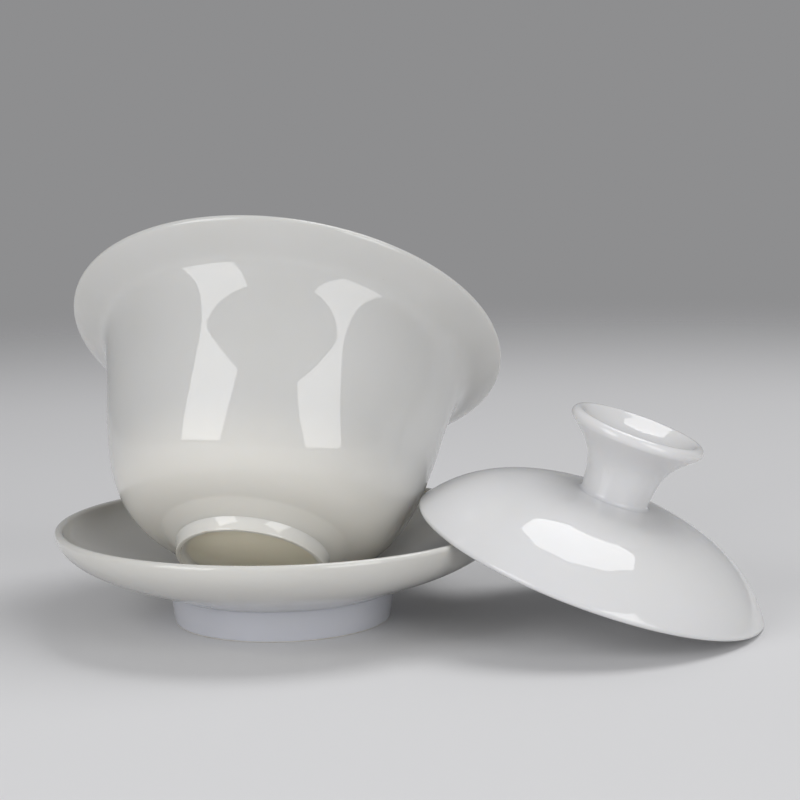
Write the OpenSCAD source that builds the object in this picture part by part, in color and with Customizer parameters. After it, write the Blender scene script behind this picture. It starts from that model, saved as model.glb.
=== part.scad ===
// Gaiwan: a lidded tea bowl with its saucer, set out with the bowl tipped back in the saucer
// and the lid leaning between the saucer's rim and the table.

/* [Bowl] */
// Diameter across the bowl's flared rim
bowl_d = 100; // [92:1:108]
// Height of the bowl from foot to rim
bowl_h = 58.2; // [52:0.2:64]
// Diameter of the bowl where the belly turns into the flare
waist_d = 77.3; // [74:0.1:80]
// Height of that turn above the foot
waist_h = 37; // [34:0.5:40]
// Diameter of the bowl's foot ring where it stands
bowl_foot_d = 33.2; // [28:0.2:36]
// Height of the bowl's foot ring
bowl_foot_h = 5.7; // [4.9:0.2:6.9]
// Wall of the bowl near its foot
bowl_wall = 3; // [2:0.1:4]
// Wall of the bowl at its lip
bowl_lip = 1.8; // [1.2:0.1:2.4]

/* [Saucer] */
// Diameter across the saucer's rim
saucer_d = 101; // [94:1:110]
// Height of the saucer from the table to its rim
saucer_h = 22.4; // [19:0.2:26]
// Diameter of the saucer's foot ring where it stands
saucer_foot_d = 48.8; // [44:0.2:52]
// Height of the crisp joint between the foot ring and the dish
saucer_foot_h = 7; // [6:0.2:8]
// Diameter of the sunken floor that holds the bowl
well_d = 43; // [40:0.5:46]
// Height of that floor above the table
well_floor = 5; // [4.6:0.1:5.6]
// Wall of the dish near its foot
saucer_wall = 2.5; // [2:0.1:3]
// Wall of the dish at its lip
saucer_lip = 1.8; // [1.2:0.1:2.2]

/* [Lid] */
// Diameter across the lid
lid_d = 80; // [76:0.2:84]
// Height of the dome from its edge to the foot of the knob
dome_h = 15.8; // [14:0.2:19]
// Wall of the lid
lid_wall = 1.6; // [1.4:0.1:2.4]
// Diameter of the knob where it stands on the dome
knob_base_d = 15; // [13:0.5:18]
// Diameter across the flared top of the knob
knob_d = 30.2; // [27:0.2:34]
// Height of the knob above the dome
knob_h = 16.8; // [14:0.2:19]
// Depth of the dish in the top of the knob
dish_depth = 3.8; // [3:0.2:5]

/* [Arrangement] */
// Lean of the bowl from upright, in degrees
bowl_lean = 37.8; // [30:0.1:40]
// Direction in which the bowl leans, anticlockwise from +X
bowl_turn = 78; // [60:1:90]
// Middle of the bowl's foot, to the right of the saucer's axis
bowl_x = -6; // [-10:0.1:0]
// Middle of the bowl's foot, behind the saucer's axis
bowl_y = -14.4; // [-18:0.1:-8]
// Lean of the lid from level, in degrees
lid_lean = 19.9; // [15:0.1:23]
// Direction in which the lid leans, anticlockwise from +X
lid_turn = -12; // [-30:1:10]
// Middle of the lid's edge, to the right of the saucer's axis
lid_x = 68.6; // [64:0.2:80]
// Middle of the lid's edge, behind the saucer's axis
lid_y = -11.2; // [-20:0.2:5]

/* [Hidden] */
$fn = 96;
// Straight steps in one curve of an outline
steps = 12;
// Air left between two pieces that rest on each other
touch_gap = 0.2;
// Air left under the lowest edge of the lid
lid_gap = 0.03;

// Leaving and arriving angle of each curve, each with its fullness: the length of the
// curve's handle as a share of the straight distance between the curve's ends
foot_curve = [[86, 0.42], [16.3, 0.5]];
belly_curve = [[16.3, 0.3], [80.5, 0.63]];
flare_curve = [[80.5, 0.8], [41, 0.43]];
dish_curve = [[21.5, 0.37], [81, 0.26]];
dome_curve = [[126, 0.31], [177, 0.45]];
neck_curve = [[85, 0.5], [40.5, 0.48]];
dish_ends = [[0, 0.6], [40.5, 0.3]];

// Foot rings: the width they stand on, how far they flare up to their seam, and the height
// of the recess inside them
bowl_foot_width = 1;
bowl_foot_flare = 3.8;
bowl_recess = 1.6;
saucer_foot_width = 2.2;
saucer_foot_flare = 1.1;
saucer_recess = 2.1;
// Thickness of the knob's rounded lip
knob_lip = 2.8;

// Seams between the foot rings and the bodies above, from the outside inwards
bowl_foot_r = bowl_foot_d / 2;
bowl_recess_r = recess_radius(bowl_foot_r, bowl_foot_width);
bowl_seam = [
    [bowl_foot_r + bowl_foot_flare, bowl_foot_h],
    [bowl_recess_r, bowl_foot_h],
    [bowl_recess_r, bowl_recess]
];
saucer_foot_r = saucer_foot_d / 2;
saucer_seam = [
    [saucer_foot_r + saucer_foot_flare, saucer_foot_h],
    [recess_radius(saucer_foot_r, saucer_foot_width), saucer_recess]
];

// Height of the floor inside the bowl
bowl_floor = bowl_foot_h + 1;

// Places of the pieces from the saucer's axis, on the table
bowl_z = well_floor + touch_gap + bowl_foot_r * sin(bowl_lean);
lid_r = lid_d / 2;
lid_edge = lid_wall / 2;
lid_z = lid_gap + (lid_r - lid_edge) * sin(lid_lean) + lid_edge * (1 - cos(lid_lean));
bowl_rim = [bowl_x, bowl_y] + bowl_h * sin(bowl_lean) * ray(bowl_turn);
bowl_reach = reach(bowl_d / 2, bowl_lean, bowl_turn);
lid_reach = reach(lid_r, lid_lean, lid_turn);

// The origin is the middle of the whole group's footprint
left = min(-saucer_d / 2, bowl_rim[0] - bowl_reach[0]);
right = max(saucer_d / 2, lid_x + lid_reach[0]);
front = min(-saucer_d / 2, lid_y - lid_reach[1]);
back = max(saucer_d / 2, bowl_rim[1] + bowl_reach[1]);
saucer_at = [-(left + right) / 2, -(front + back) / 2, 0];

// Unit vector at an angle
function ray(a) = [cos(a), sin(a)];

// Radius at the top of the recess in a foot ring, whose wall leans in by a quarter of its width
function recess_radius(foot_r, width) = foot_r - width * 5 / 4;

// Half the width and half the depth, seen from above, of a leaning circle
function reach(r, lean, turn) = [for (side = ray(turn)) r * sqrt(1 - pow(sin(lean) * side, 2))];

// Curve from p to q that leaves and arrives at the two angles, each with its fullness
function curve(p, q, ends) =
    let (d = norm(q - p),
         a = p + ends[0][1] * d * ray(ends[0][0]),
         b = q - ends[1][1] * d * ray(ends[1][0]))
    [for (i = [0:steps]) let (t = i / steps, s = 1 - t)
        s * s * s * p + 3 * s * s * t * a + 3 * s * t * t * b + t * t * t * q];

// Two outlines joined end to end, with their shared point kept once
function joined(p, q) = concat(p, [for (i = [1:len(q) - 1]) q[i]]);

function reversed(p) = [for (i = [len(p) - 1:-1:0]) p[i]];

// Unit normal to the left of an outline at its point i
function left_of(p, i) =
    let (d = p[min(i + 1, len(p) - 1)] - p[max(i - 1, 0)]) [-d[1], d[0]] / norm(d);

// The outline moved to its left by a wall that tapers from one end to the other
function inside(p, first, last) =
    [for (i = [0:len(p) - 1]) p[i] + left_of(p, i) * (first + (last - first) * i / (len(p) - 1))];

// Half circle that rounds a lip, from point p to point q
function lip(p, q) =
    let (c = (p + q) / 2, v = p - c, w = [-v[1], v[0]])
    [for (a = [30:30:150]) c + v * cos(a) + w * sin(a)];

// Where a wall's outer face ends, when the middle of its rounded lip is at c
function outer_end(c, wall, angle) = c + wall / 2 * ray(angle - 90);

module turned(outline) {
    rotate_extrude() polygon(outline);
}

// Stands a piece at its place from the saucer's axis, leaning one way
module leaning(place, lean, turn) {
    translate(saucer_at + place) rotate([0, lean, turn]) children();
}

module bowl_place() {
    leaning([bowl_x, bowl_y, bowl_z], bowl_lean, bowl_turn) children();
}

module lid_place() {
    leaning([lid_x, lid_y, lid_z], lid_lean, lid_turn) children();
}

// Ring with a narrow rounded edge to stand on, between its outer wall and its seam
module foot_ring(wall, width, seam) {
    r = wall[0][0];
    edge = wall[0][1];
    turned(concat(
        [[r - width, edge], [r - width + edge, 0], [r - edge, 0]],
        joined(wall, seam)
    ));
}

module bowl() {
    waist = [waist_d / 2, waist_h];
    lip_at = [bowl_d / 2, bowl_h] - [bowl_lip, bowl_lip] / 2;
    outer = joined(
        curve(bowl_seam[0], waist, belly_curve),
        curve(waist, outer_end(lip_at, bowl_lip, flare_curve[1][0]), flare_curve)
    );
    inner = inside(outer, bowl_wall, bowl_lip);
    color([0.93, 0.92, 0.87]) bowl_place() turned(concat(
        [[0, bowl_recess]],
        joined(reversed(bowl_seam), outer),
        lip(outer[len(outer) - 1], inner[len(inner) - 1]),
        reversed(inner),
        [[bowl_foot_r / 2, bowl_floor], [0, bowl_floor]]
    ));
}

module bowl_foot_ring() {
    wall = curve([bowl_foot_r, bowl_foot_width / 4], bowl_seam[0], foot_curve);
    color([0.92, 0.90, 0.84]) bowl_place() foot_ring(wall, bowl_foot_width, bowl_seam);
}

module saucer() {
    lip_at = [saucer_d / 2, saucer_h] - [saucer_lip, saucer_lip] / 2;
    under = curve(saucer_seam[0], outer_end(lip_at, saucer_lip, dish_curve[1][0]), dish_curve);
    top = inside(under, saucer_wall, saucer_lip);
    color([0.91, 0.90, 0.86]) translate(saucer_at) turned(concat(
        [[0, saucer_recess]],
        joined(reversed(saucer_seam), under),
        lip(under[len(under) - 1], top[len(top) - 1]),
        reversed(top),
        [[well_d / 2, well_floor], [0, well_floor]]
    ));
}

module saucer_foot_ring() {
    wall = [[saucer_foot_r, saucer_foot_width / 4], saucer_seam[0]];
    color([0.89, 0.90, 0.93]) translate(saucer_at) foot_ring(wall, saucer_foot_width, saucer_seam);
}

module lid() {
    edge = [lid_r, 0] + [-lid_wall, lid_wall] / 2;
    outer = curve(edge + lid_wall / 2 * ray(dome_curve[0][0] - 90), [knob_base_d / 2, dome_h], dome_curve);
    inner = inside(outer, lid_wall, lid_wall);
    color([0.93, 0.93, 0.91]) lid_place() turned(concat(
        [[0, dome_h]],
        reversed(outer),
        reversed(lip(inner[0], outer[0])),
        inner,
        [[0, inner[len(inner) - 1][1]]]
    ));
}

module lid_knob() {
    top = dome_h + knob_h;
    lip_at = [knob_d / 2, top] - [knob_lip, knob_lip] / 2;
    neck = curve([knob_base_d / 2, dome_h], outer_end(lip_at, knob_lip, neck_curve[1][0]), neck_curve);
    dish_edge = lip_at - knob_lip / 2 * ray(neck_curve[1][0] - 90);
    color([0.93, 0.93, 0.91]) lid_place() turned(concat(
        [[0, dome_h]],
        neck,
        lip(neck[len(neck) - 1], dish_edge),
        reversed(curve([0, top - dish_depth], dish_edge, dish_ends))
    ));
}

saucer();
saucer_foot_ring();
bowl();
bowl_foot_ring();
lid();
lid_knob();
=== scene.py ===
"""The looks of a porcelain gaiwan: a tea bowl tipped back in its saucer, and its lid beside it."""

from math import atan2, cos, degrees, pi, radians, sin

import bmesh
import bpy
from mathutils import Euler, Matrix, Vector


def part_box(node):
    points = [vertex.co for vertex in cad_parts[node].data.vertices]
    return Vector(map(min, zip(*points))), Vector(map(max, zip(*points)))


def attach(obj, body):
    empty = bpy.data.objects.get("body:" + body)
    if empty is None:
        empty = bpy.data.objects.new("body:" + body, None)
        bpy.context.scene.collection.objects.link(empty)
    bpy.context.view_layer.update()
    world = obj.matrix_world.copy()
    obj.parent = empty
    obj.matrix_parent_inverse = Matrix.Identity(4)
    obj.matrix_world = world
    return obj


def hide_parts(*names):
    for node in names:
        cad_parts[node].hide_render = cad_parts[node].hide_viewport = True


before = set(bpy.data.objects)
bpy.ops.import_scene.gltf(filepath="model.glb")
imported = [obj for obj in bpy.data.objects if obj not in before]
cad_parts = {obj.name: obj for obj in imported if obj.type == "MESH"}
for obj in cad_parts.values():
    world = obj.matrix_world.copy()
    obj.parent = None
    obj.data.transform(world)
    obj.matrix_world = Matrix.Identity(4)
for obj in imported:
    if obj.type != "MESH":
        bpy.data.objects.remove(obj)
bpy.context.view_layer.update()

# --- Sizes, in millimetres, as in the CAD model ---------------------------------------------

MM = 0.001

# Each curve has its leaving and its arriving angle, with the length of each handle as a share
# of the straight distance between the curve's ends.
BOWL = dict(r=50, h=58.2, waist=(77.3 / 2, 37), wall=3, lip=1.8)
BOWL_FOOT = dict(r=16.6, h=5.7, width=1, flare=3.8, recess=1.6)
BOWL_FLOOR = BOWL_FOOT["h"] + 1
FOOT_CURVE = ((86, 0.42), (16.3, 0.5))
BELLY_CURVE = ((16.3, 0.3), (80.5, 0.63))
FLARE_CURVE = ((80.5, 0.8), (41, 0.43))

SAUCER = dict(r=50.5, h=22.4, wall=2.5, lip=1.8, well_r=21.5, floor=5)
SAUCER_FOOT = dict(r=24.4, h=7, width=2.2, flare=1.1, recess=2.1)
DISH_CURVE = ((21.5, 0.37), (81, 0.26))

LID = dict(r=40, dome=15.8, wall=1.6)
KNOB = dict(base_r=7.5, r=15.1, h=16.8, lip=2.8, dish=3.8)
DOME_CURVE = ((126, 0.31), (177, 0.45))
NECK_CURVE = ((85, 0.5), (40.5, 0.48))
HOLLOW_CURVE = ((0, 0.6), (40.5, 0.3))

# Places from the saucer's axis, on the table: how far right and back, the lean and its direction
BOWL_AT, BOWL_LEAN, BOWL_TURN = (-6, -14.4), 37.8, 78
LID_AT, LID_LEAN, LID_TURN = (68.6, -11.2), 19.9, -12
TOUCH_GAP, LID_GAP = 0.2, 0.03  # air under the bowl's foot and under the lid's edge

# Soft bends of the glaze: how far each starts before its corner, and how far it goes on after it
BOWL_BENDS = dict(recess=(0.8, 0.6), seam=(0.3, 0.3))
SAUCER_BENDS = dict(recess=(1.2, 1.0), seam=(0.3, 0.4))
FLOOR_BEND = (2.2, 3)
WALL_BEND = 3
KNOB_BEND = 0.9
SUNK = 0.4  # how far the hidden end of a foot ring or knob lies inside the piece it sits on

TURNS = 224  # facets round each piece
STEPS = 36  # straight steps in one long curve of an outline
EDGE_STEPS = 6  # straight steps in each rounded edge of a foot ring
ROUND = 0.39  # handle of a curve that is close to a quarter circle

# --- Colours --------------------------------------------------------------------------------

# A glaze has its body's colour and the colour of its faint clouds. The bowl's also has painted light
# towards the foot, a lighter and warmer colour that stands in for light bounced up from the saucer, with
# the heights where it is full and where it ends; and painted bounce light inside the foot ring, a bright
# beige, with the radii where it is full and where it ends.
BOWL_LOOK = (
    (0.585, 0.585, 0.575),
    (0.57, 0.57, 0.555),
    # painted light: lighter, warmer colour towards the foot, standing in for light bounced up from the
    # saucer
    ((0.76, 0.745, 0.70), 6, 24),
    # painted light: bright beige inside the foot ring, standing in for bounce light in the shaded recess
    ((0.95, 0.89, 0.73), 13.6, 15.4),
)
SAUCER_LOOK = ((0.61, 0.605, 0.58), (0.595, 0.59, 0.565))
SAUCER_FOOT_LOOK = ((0.60, 0.61, 0.66), (0.585, 0.595, 0.64))
# The lid's porcelain is set lighter than the bowl's and saucer's: painted light, standing in for the
# stronger light on the lid.
LID_LOOK = ((0.68, 0.68, 0.69), (0.665, 0.665, 0.665))
SPECK = (0.30, 0.25, 0.19)
CLAY, CLAY_STAIN = (0.80, 0.78, 0.73), (0.60, 0.54, 0.45)
FLOOR = (0.72, 0.72, 0.73)
ROOM = (0.27, 0.27, 0.275)


# --- Outlines: lists of (radius, height) points ---------------------------------------------

def ray(angle):
    """Unit vector at an angle in degrees."""
    return Vector((cos(radians(angle)), sin(radians(angle))))


def cubic(p, a, b, q, steps):
    """Points of a cubic curve from p to q with handles a and b."""
    points = []
    for i in range(steps + 1):
        t = i / steps
        s = 1 - t
        points.append(s**3 * p + 3 * s * s * t * a + 3 * s * t * t * b + t**3 * q)
    return points


def curve(p, q, ends, steps=STEPS):
    """Curve from p to q. Each end is its angle and its handle as a share of the distance."""
    p, q = Vector(p), Vector(q)
    span = (q - p).length
    a = p + ends[0][1] * span * ray(ends[0][0])
    b = q - ends[1][1] * span * ray(ends[1][0])
    return cubic(p, a, b, q, steps)


def inside(outline, first, last):
    """The outline moved to its left by a wall that tapers from one end to the other."""
    count = len(outline) - 1
    moved = []
    for i, p in enumerate(outline):
        along = (outline[min(i + 1, count)] - outline[max(i - 1, 0)]).normalized()
        wall = first + (last - first) * i / count
        moved.append(p + wall * Vector((-along.y, along.x)))
    return moved


def lip_centre(r, h, wall):
    """Middle of the rounded lip of a wall that reaches out to r and up to h."""
    return Vector((r - wall / 2, h - wall / 2))


def outer_end(centre, wall, angle):
    """Where a wall's outer face ends, when the middle of its rounded lip is at centre."""
    return centre + wall / 2 * ray(angle - 90)


def lip(p, q, steps=14):
    """Half circle that rounds a lip, from p to q, without its ends."""
    centre = (p + q) / 2
    arm = p - centre
    side = Vector((-arm.y, arm.x))
    angles = [pi * i / steps for i in range(1, steps)]
    return [centre + arm * cos(a) + side * sin(a) for a in angles]


def trimmed(outline, length):
    """The outline without its last stretch of that length."""
    points = list(outline)
    while len(points) > 2 and (points[-1] - points[-2]).length <= length:
        length -= (points[-1] - points[-2]).length
        points.pop()
    step = points[-2] - points[-1]
    points[-1] = points[-1] + step.normalized() * min(length, step.length * 0.99)
    return points


def bend(first, second, back, ahead, steps=10):
    """Two outlines and the soft bend between them, from back before the corner to ahead after it."""
    first = trimmed(first, back)
    second = trimmed(second[::-1], ahead)[::-1]
    p, q = first[-1], second[0]
    pull = 0.4 * (q - p).length
    leave = (first[-1] - first[-2]).normalized()
    arrive = (second[1] - second[0]).normalized()
    return first[:-1], cubic(p, p + pull * leave, q - pull * arrive, q, steps), second[1:]


def blended(first, second, back, ahead):
    """Two outlines joined into one by a soft bend."""
    before, corner, after = bend(first, second, back, ahead)
    return before + corner + after


# --- Meshes ---------------------------------------------------------------------------------

def turned(name, outline, place, materials, closed=False, bare=()):
    """A smooth piece turned round its own axis. The outline's steps in bare take material 1.

    Its place is in its mesh, as in the CAD model."""
    mesh = bmesh.new()
    angles = [2 * pi * i / TURNS for i in range(TURNS)]
    rings = []
    for r, z in outline:
        if r < 1e-4:
            rings.append([mesh.verts.new((0, 0, z * MM))])
        else:
            rings.append([mesh.verts.new((r * cos(a) * MM, r * sin(a) * MM, z * MM)) for a in angles])
    pairs = list(zip(rings, rings[1:]))
    if closed:
        pairs.append((rings[-1], rings[0]))
    for step, (low, high) in enumerate(pairs):
        for i in range(TURNS):
            j = (i + 1) % TURNS
            if len(low) == 1:
                corners = (low[0], high[j], high[i])
            elif len(high) == 1:
                corners = (low[i], low[j], high[0])
            else:
                corners = (low[i], low[j], high[j], high[i])
            face = mesh.faces.new(corners)
            face.smooth = True
            face.material_index = int(step in bare)
    bmesh.ops.recalc_face_normals(mesh, faces=mesh.faces)
    data = bpy.data.meshes.new(name)
    mesh.to_mesh(data)
    mesh.free()
    data.transform(place)
    data.set_sharp_from_angle(angle=radians(42))
    for material in materials:
        data.materials.append(material)
    piece = bpy.data.objects.new(name, data)
    bpy.context.scene.collection.objects.link(piece)
    return piece


def leaning(at, height, lean, turn):
    """The place of a piece that stands at a point from the saucer's axis and leans one way."""
    low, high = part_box("saucer")
    centre = (low + high) / 2
    where = Vector((centre.x + at[0] * MM, centre.y + at[1] * MM, height * MM))
    return Matrix.Translation(where) @ Euler((0, radians(lean), radians(turn))).to_matrix().to_4x4()


# --- Materials ------------------------------------------------------------------------------

class Nodes:
    """Short calls for building one material's nodes."""

    def __init__(self, name, place=Matrix()):
        self.material = bpy.data.materials.new(name)
        self.material.use_nodes = True
        self.tree = self.material.node_tree
        self.shader = self.tree.nodes["Principled BSDF"]
        self.output = self.tree.nodes["Material Output"]
        coordinates = self.tree.nodes.new("ShaderNodeTexCoord").outputs["Object"]
        inputs = {"Vector": coordinates, "Location": place.to_translation(), "Rotation": place.to_euler()}
        self.place = self.node("ShaderNodeMapping", inputs, vector_type="TEXTURE").outputs["Vector"]

    def node(self, kind, inputs=(), **settings):
        """A new node. Its inputs are sockets to link or values to set."""
        made = self.tree.nodes.new(kind)
        for key, value in settings.items():
            setattr(made, key, value)
        for key, value in dict(inputs).items():
            self.feed(made.inputs[key], value)
        return made

    def feed(self, socket, value):
        """Links a socket to another, or sets its value."""
        if isinstance(value, bpy.types.NodeSocket):
            self.tree.links.new(value, socket)
        else:
            socket.default_value = value

    def set(self, **values):
        """Feeds the shader's sockets: Base_Color stands for Base Color."""
        for key, value in values.items():
            self.feed(self.shader.inputs[key.replace("_", " ")], value)

    def noise(self, size, detail=3, roughness=0.5):
        """Soft noise whose blotches are about size millimetres across."""
        inputs = {"Vector": self.place, "Scale": 1 / (size * MM), "Detail": detail, "Roughness": roughness}
        return self.node("ShaderNodeTexNoise", inputs).outputs["Fac"]

    def between(self, value, low, high, to_low=0.0, to_high=1.0):
        """value from low to high becomes to_low to to_high, smoothly, and stays at the ends."""
        inputs = {"Value": value, "From Min": low, "From Max": high, "To Min": to_low, "To Max": to_high}
        return self.node("ShaderNodeMapRange", inputs, interpolation_type="SMOOTHSTEP").outputs["Result"]

    def mix(self, share, first, second):
        """Colour between two colours."""
        made = self.node("ShaderNodeMix", {0: share}, data_type="RGBA")
        colours = [s for s in made.inputs if s.type == "RGBA"]
        for socket, colour in zip(colours, (first, second)):
            self.feed(socket, colour if isinstance(colour, bpy.types.NodeSocket) else (*colour, 1))
        return next(s for s in made.outputs if s.type == "RGBA")

    def times(self, first, second):
        """Product of two values."""
        return self.node("ShaderNodeMath", {0: first, 1: second}, operation="MULTIPLY").outputs[0]

    def height(self):
        """Height along the piece's own axis, in metres."""
        return self.node("ShaderNodeSeparateXYZ", {"Vector": self.place}).outputs["Z"]

    def radius(self):
        """Distance from the piece's own axis, in metres."""
        inputs = {0: self.place, 1: (1, 1, 0)}
        flat = self.node("ShaderNodeVectorMath", inputs, operation="MULTIPLY").outputs["Vector"]
        return self.node("ShaderNodeVectorMath", {0: flat}, operation="LENGTH").outputs["Value"]

    def bump(self, layers):
        """Bump from (size in mm, depth in mm) layers, the coarsest first."""
        normal = None
        for size, depth in layers:
            inputs = {"Height": self.noise(size, detail=2), "Distance": depth * MM, "Strength": 1.0}
            if normal:
                inputs["Normal"] = normal
            normal = self.node("ShaderNodeBump", inputs).outputs["Normal"]
        return normal


def glaze(name, place, body, cloud, low=None, recess=None):
    """Clear glaze over porcelain: the body's colour with faint clouds and a few dark specks, and on the
    bowl painted bounce light towards the foot and inside the foot ring.
    """
    n = Nodes(name, place)
    colour = n.mix(n.between(n.noise(30, detail=2), 0.35, 0.7), body, cloud)
    # Painted light: towards the foot, a lighter, warmer colour stands in for light bounced up from the
    # saucer.
    if low:
        foot_bounce_light, full, end = low
        colour = n.mix(n.between(n.height(), full * MM, end * MM, 1, 0), colour, foot_bounce_light)
    # Painted light: inside the foot ring, a bright beige stands in for warm bounce light in the shaded
    # recess.
    if recess:
        recess_bounce_light, full, end = recess
        under = n.between(n.height(), 2.5 * MM, 4 * MM, 1, 0)
        share = n.times(under, n.between(n.radius(), full * MM, end * MM, 1, 0))
        colour = n.mix(share, colour, recess_bounce_light)
    cells = n.node("ShaderNodeTexVoronoi", {"Vector": n.place, "Scale": 1 / (11 * MM)})
    speck = n.between(cells.outputs["Distance"], 0.006, 0.014, 0.35, 0)
    n.set(Base_Color=n.mix(speck, colour, SPECK))
    n.set(Roughness=n.between(n.noise(6), 0.3, 0.7, 0.35, 0.5))
    n.set(Specular_IOR_Level=0.1)
    n.set(Subsurface_Weight=0.25, Subsurface_Radius=(1.0, 0.85, 0.65), Subsurface_Scale=0.004)
    n.set(Coat_Weight=1.0, Coat_Roughness=0.02, Coat_IOR=1.5)
    wobble = n.bump([(22, 0.035), (1.3, 0.0012)])
    n.set(Normal=wobble, Coat_Normal=wobble)
    return n.material


def bare_clay(name):
    """The unglazed edge that a piece stands on: fine, matte, and faintly stained by use."""
    n = Nodes(name)
    stain = n.between(n.noise(5, detail=5, roughness=0.65), 0.45, 0.75)
    n.set(Base_Color=n.mix(stain, CLAY, CLAY_STAIN))
    n.set(Roughness=n.between(n.noise(0.8), 0.3, 0.7, 0.55, 0.8))
    n.set(Normal=n.bump([(0.35, 0.012)]))
    return n.material


def table(name):
    """Plain pale matte floor that fades out before it reaches the lights."""
    n = Nodes(name)
    n.set(Base_Color=(*FLOOR, 1), Roughness=0.8, Specular_IOR_Level=0.1)
    away = n.node("ShaderNodeVectorMath", {0: n.place}, operation="LENGTH").outputs["Value"]
    clear = n.node("ShaderNodeBsdfTransparent").outputs[0]
    faded = n.node("ShaderNodeMixShader", {0: n.between(away, 0.35, 0.9)})
    n.tree.links.new(n.shader.outputs[0], faded.inputs[1])
    n.tree.links.new(clear, faded.inputs[2])
    n.tree.links.new(faded.outputs[0], n.output.inputs["Surface"])
    return n.material


# --- Places and finishes of the pieces ------------------------------------------------------

BOWL_HEIGHT = SAUCER["floor"] + TOUCH_GAP + BOWL_FOOT["r"] * sin(radians(BOWL_LEAN))
LID_EDGE = LID["wall"] / 2  # radius of the lid's rounded edge
LID_RISE = (LID["r"] - LID_EDGE) * sin(radians(LID_LEAN)) + LID_EDGE * (1 - cos(radians(LID_LEAN)))

BOWL_PLACE = leaning(BOWL_AT, BOWL_HEIGHT, BOWL_LEAN, BOWL_TURN)
SAUCER_PLACE = leaning((0, 0), 0, 0, 0)
LID_PLACE = leaning(LID_AT, LID_GAP + LID_RISE, LID_LEAN, LID_TURN)

BOWL_GLAZE = glaze("bowl_glaze", BOWL_PLACE, *BOWL_LOOK)
BOWL_FOOT_GLAZE = glaze("bowl_foot_glaze", BOWL_PLACE, *BOWL_LOOK)
SAUCER_GLAZE = glaze("saucer_glaze", SAUCER_PLACE, *SAUCER_LOOK)
SAUCER_FOOT_GLAZE = glaze("saucer_foot_glaze", SAUCER_PLACE, *SAUCER_FOOT_LOOK)
LID_GLAZE = glaze("lid_glaze", LID_PLACE, *LID_LOOK)
BARE_CLAY = bare_clay("bare_clay")


# --- Pieces ---------------------------------------------------------------------------------

def finished(piece, body, node):
    """The piece rides on its body and stands for its CAD node, which it hides."""
    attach(piece, body)
    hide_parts(node)


def foot_seam(foot):
    """Where the outside of a foot ring meets the body above."""
    return Vector((foot["r"] + foot["flare"], foot["h"]))


def foot_start(foot):
    """Where the outside of a foot ring starts, above its rounded edge."""
    return Vector((foot["r"], foot["width"] / 4))


def recess_corner(foot):
    """Where the level underside inside a foot ring meets the ring."""
    return Vector((foot["r"] - foot["width"] * 5 / 4, foot["recess"]))


def foot_section(foot, wall, above, bends):
    """Closed outline of a foot ring whose glaze runs softly into the body above it.

    wall runs up the ring's outside to the seam, and above is the body's outline from there.
    Also the outline's steps that are bare clay, between the middles of the rounded edges."""
    r, w, edge = foot["r"], foot["width"], foot["width"] / 4
    rise = degrees(atan2(*(wall[1] - wall[0]).yx))
    base = curve((r - w, edge), (r - w + edge, 0), ((270, ROUND), (0, ROUND)), EDGE_STEPS)
    base += curve((r - edge, 0), wall[0], ((0, ROUND), (rise, ROUND)), EDGE_STEPS)
    recess = recess_corner(foot)
    inner = blended([Vector((0, recess.y)), recess], [recess, base[0]], *bends["recess"])[1:]
    up, over, _ = bend(wall, above, *bends["seam"])
    hidden = [over[-1] + Vector((-SUNK, SUNK)), inner[0] + Vector((0, SUNK))]
    half = EDGE_STEPS // 2
    bare = range(len(inner) + half - 1, len(inner) + len(base) - half - 1)
    return inner + base[1:-1] + up + over + hidden, bare


def body_outline(outer, walls, recess, floor):
    """Outline of a bowl or dish, from its underside's middle, over the lip, to its floor's middle.

    recess and floor are the points where the underside and the floor start to be level."""
    inner = inside(outer, *walls)[::-1]
    floor = Vector(floor)
    slope = [inner[-1], floor]
    reach = min(WALL_BEND, (inner[-1] - floor).length * 0.45)
    sloped = blended(inner, slope, WALL_BEND, reach)
    top = blended(sloped, [floor, Vector((0, floor.y))], *FLOOR_BEND)
    return [Vector((0, recess.y)), recess] + outer + lip(outer[-1], inner[0]) + top


def make_bowl():
    foot, walls = BOWL_FOOT, (BOWL["wall"], BOWL["lip"])
    lip_at = lip_centre(BOWL["r"], BOWL["h"], BOWL["lip"])
    rim = outer_end(lip_at, BOWL["lip"], FLARE_CURVE[1][0])
    belly = curve(foot_seam(foot), BOWL["waist"], BELLY_CURVE)
    outer = belly + curve(BOWL["waist"], rim, FLARE_CURVE)[1:]
    outline = body_outline(outer, walls, recess_corner(foot), (foot["r"] / 2, BOWL_FLOOR))
    body = turned("bowl_body", outline, BOWL_PLACE, [BOWL_GLAZE])
    finished(body, "bowl", "bowl")
    wall = curve(foot_start(foot), foot_seam(foot), FOOT_CURVE)
    section, bare = foot_section(foot, wall, outer, BOWL_BENDS)
    finish = [BOWL_FOOT_GLAZE, BARE_CLAY]
    ring = turned("bowl_foot", section, BOWL_PLACE, finish, closed=True, bare=bare)
    finished(ring, "bowl", "bowl_foot_ring")


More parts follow.
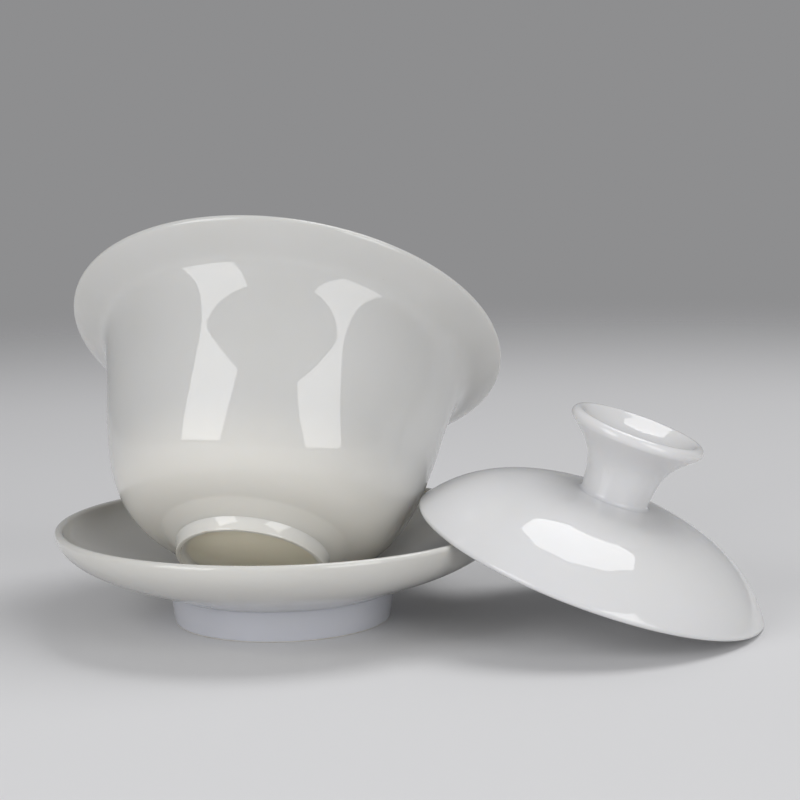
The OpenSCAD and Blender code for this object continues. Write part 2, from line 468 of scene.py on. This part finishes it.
def make_saucer():
    foot, walls = SAUCER_FOOT, (SAUCER["wall"], SAUCER["lip"])
    lip_at = lip_centre(SAUCER["r"], SAUCER["h"], SAUCER["lip"])
    rim = outer_end(lip_at, SAUCER["lip"], DISH_CURVE[1][0])
    under = curve(foot_seam(foot), rim, DISH_CURVE)
    outline = body_outline(under, walls, recess_corner(foot), (SAUCER["well_r"], SAUCER["floor"]))
    body = turned("saucer_dish", outline, SAUCER_PLACE, [SAUCER_GLAZE])
    finished(body, "saucer", "saucer")
    wall = [foot_start(foot), foot_seam(foot)]
    section, bare = foot_section(foot, wall, under, SAUCER_BENDS)
    finish = [SAUCER_FOOT_GLAZE, BARE_CLAY]
    ring = turned("saucer_foot", section, SAUCER_PLACE, finish, closed=True, bare=bare)
    finished(ring, "saucer", "saucer_foot_ring")


def make_lid():
    wall, dome = LID["wall"], LID["dome"]
    edge = outer_end(Vector((LID["r"] - wall / 2, wall / 2)), wall, DOME_CURVE[0][0])
    outer = curve(edge, (KNOB["base_r"], dome), DOME_CURVE)
    inner = inside(outer, wall, wall)
    rim = lip(inner[0], outer[0])[::-1]
    outline = [Vector((0, dome))] + outer[::-1] + rim + inner + [Vector((0, inner[-1].y))]
    body = turned("lid_dome", outline, LID_PLACE, [LID_GLAZE])
    finished(body, "lid", "lid")
    make_knob(outer)


def make_knob(dome):
    """The knob, whose glaze runs softly out over the dome's outline."""
    base = dome[-1]
    top = base.y + KNOB["h"]
    lip_at = lip_centre(KNOB["r"], top, KNOB["lip"])
    neck = curve(base, outer_end(lip_at, KNOB["lip"], NECK_CURVE[1][0]), NECK_CURVE)
    dish_edge = 2 * lip_at - neck[-1]
    dish = curve((0, top - KNOB["dish"]), dish_edge, HOLLOW_CURVE)[::-1]
    outline = blended(dome, neck, KNOB_BEND, KNOB_BEND) + lip(neck[-1], dish_edge) + dish
    start = next(i for i, p in enumerate(outline) if p.x < base.x + KNOB_BEND + 0.1)
    hidden = [Vector((0, base.y - SUNK)), outline[start] - Vector((0, SUNK))]
    knob = turned("knob", hidden + outline[start:], LID_PLACE, [LID_GLAZE])
    finished(knob, "lid", "lid_knob")


# --- Stage ----------------------------------------------------------------------------------

LIGHT_DISTANCE = 0.9
LIGHT_TARGET = Vector((0, 0, 0.04))

CAMERA_AT = Vector((-0.55, -448.93, 107.8)) * MM
CAMERA_PITCH, CAMERA_ROLL = 7.54, -1.08


def make_floor():
    mesh = bmesh.new()
    bmesh.ops.create_grid(mesh, x_segments=2, y_segments=2, size=1)
    data = bpy.data.meshes.new("floor")
    mesh.to_mesh(data)
    mesh.free()
    data.materials.append(table("table"))
    floor = bpy.data.objects.new("floor", data)
    bpy.context.scene.collection.objects.link(floor)


def facing(direction):
    """Place of a light that faces the object from a direction: (azimuth from the front, elevation)."""
    azimuth, elevation = (radians(a) for a in direction)
    away = Vector((sin(azimuth) * cos(elevation), -cos(azimuth) * cos(elevation), sin(elevation)))
    turn = away.to_track_quat("Z", "Y").to_matrix().to_4x4()
    return Matrix.Translation(LIGHT_TARGET + LIGHT_DISTANCE * away) @ turn


def softbox(name, direction, width, height, radiance):
    """Rectangular area light that the camera itself doesn't see."""
    light = bpy.data.lights.new(name, "AREA")
    light.shape = "RECTANGLE"
    light.size, light.size_y = width, height
    light.energy = radiance * pi * width * height
    lamp = bpy.data.objects.new(name, light)
    lamp.matrix_world = facing(direction)
    lamp.visible_camera = False
    bpy.context.scene.collection.objects.link(lamp)


def octabox(name, direction, radius, radiance):
    """Eight-sided softbox: a glowing disc that the camera itself doesn't see."""
    n = Nodes(name)
    n.set(Base_Color=(0, 0, 0, 1), Emission_Color=(1, 1, 1, 1), Emission_Strength=radiance)
    mesh = bmesh.new()
    bmesh.ops.create_circle(mesh, cap_ends=True, radius=radius, segments=8)
    data = bpy.data.meshes.new(name)
    mesh.to_mesh(data)
    mesh.free()
    data.materials.append(n.material)
    disc = bpy.data.objects.new(name, data)
    disc.matrix_world = facing(direction)
    disc.visible_camera = False
    bpy.context.scene.collection.objects.link(disc)


def make_lights():
    softbox("left_softbox", (-46.5, 21.5), width=0.47, height=0.69, radiance=3.7)
    softbox("right_softbox", (37, 16.5), width=0.44, height=0.64, radiance=3.5)
    octabox("top_octabox", (120, 68), radius=0.33, radiance=3.7)
    world = bpy.data.worlds.new("studio")
    world.use_nodes = True
    world.node_tree.nodes["Background"].inputs["Color"].default_value = (*ROOM, 1)
    bpy.context.scene.world = world


def make_camera():
    """A 90 mm lens, a little above the bowl's rim and tilted down."""
    lens = bpy.data.cameras.new("camera")
    lens.lens, lens.sensor_width = 90, 36
    camera = bpy.data.objects.new("camera", lens)
    down = Euler((radians(90 - CAMERA_PITCH), 0, 0)).to_matrix()
    roll = Euler((0, 0, radians(CAMERA_ROLL))).to_matrix()
    camera.matrix_world = Matrix.Translation(CAMERA_AT) @ (down @ roll).to_4x4()
    bpy.context.scene.collection.objects.link(camera)
    bpy.context.scene.camera = camera


make_camera()
make_bowl()
make_saucer()
make_lid()
make_floor()
make_lights()
bpy.context.scene.view_settings.view_transform = "Standard"
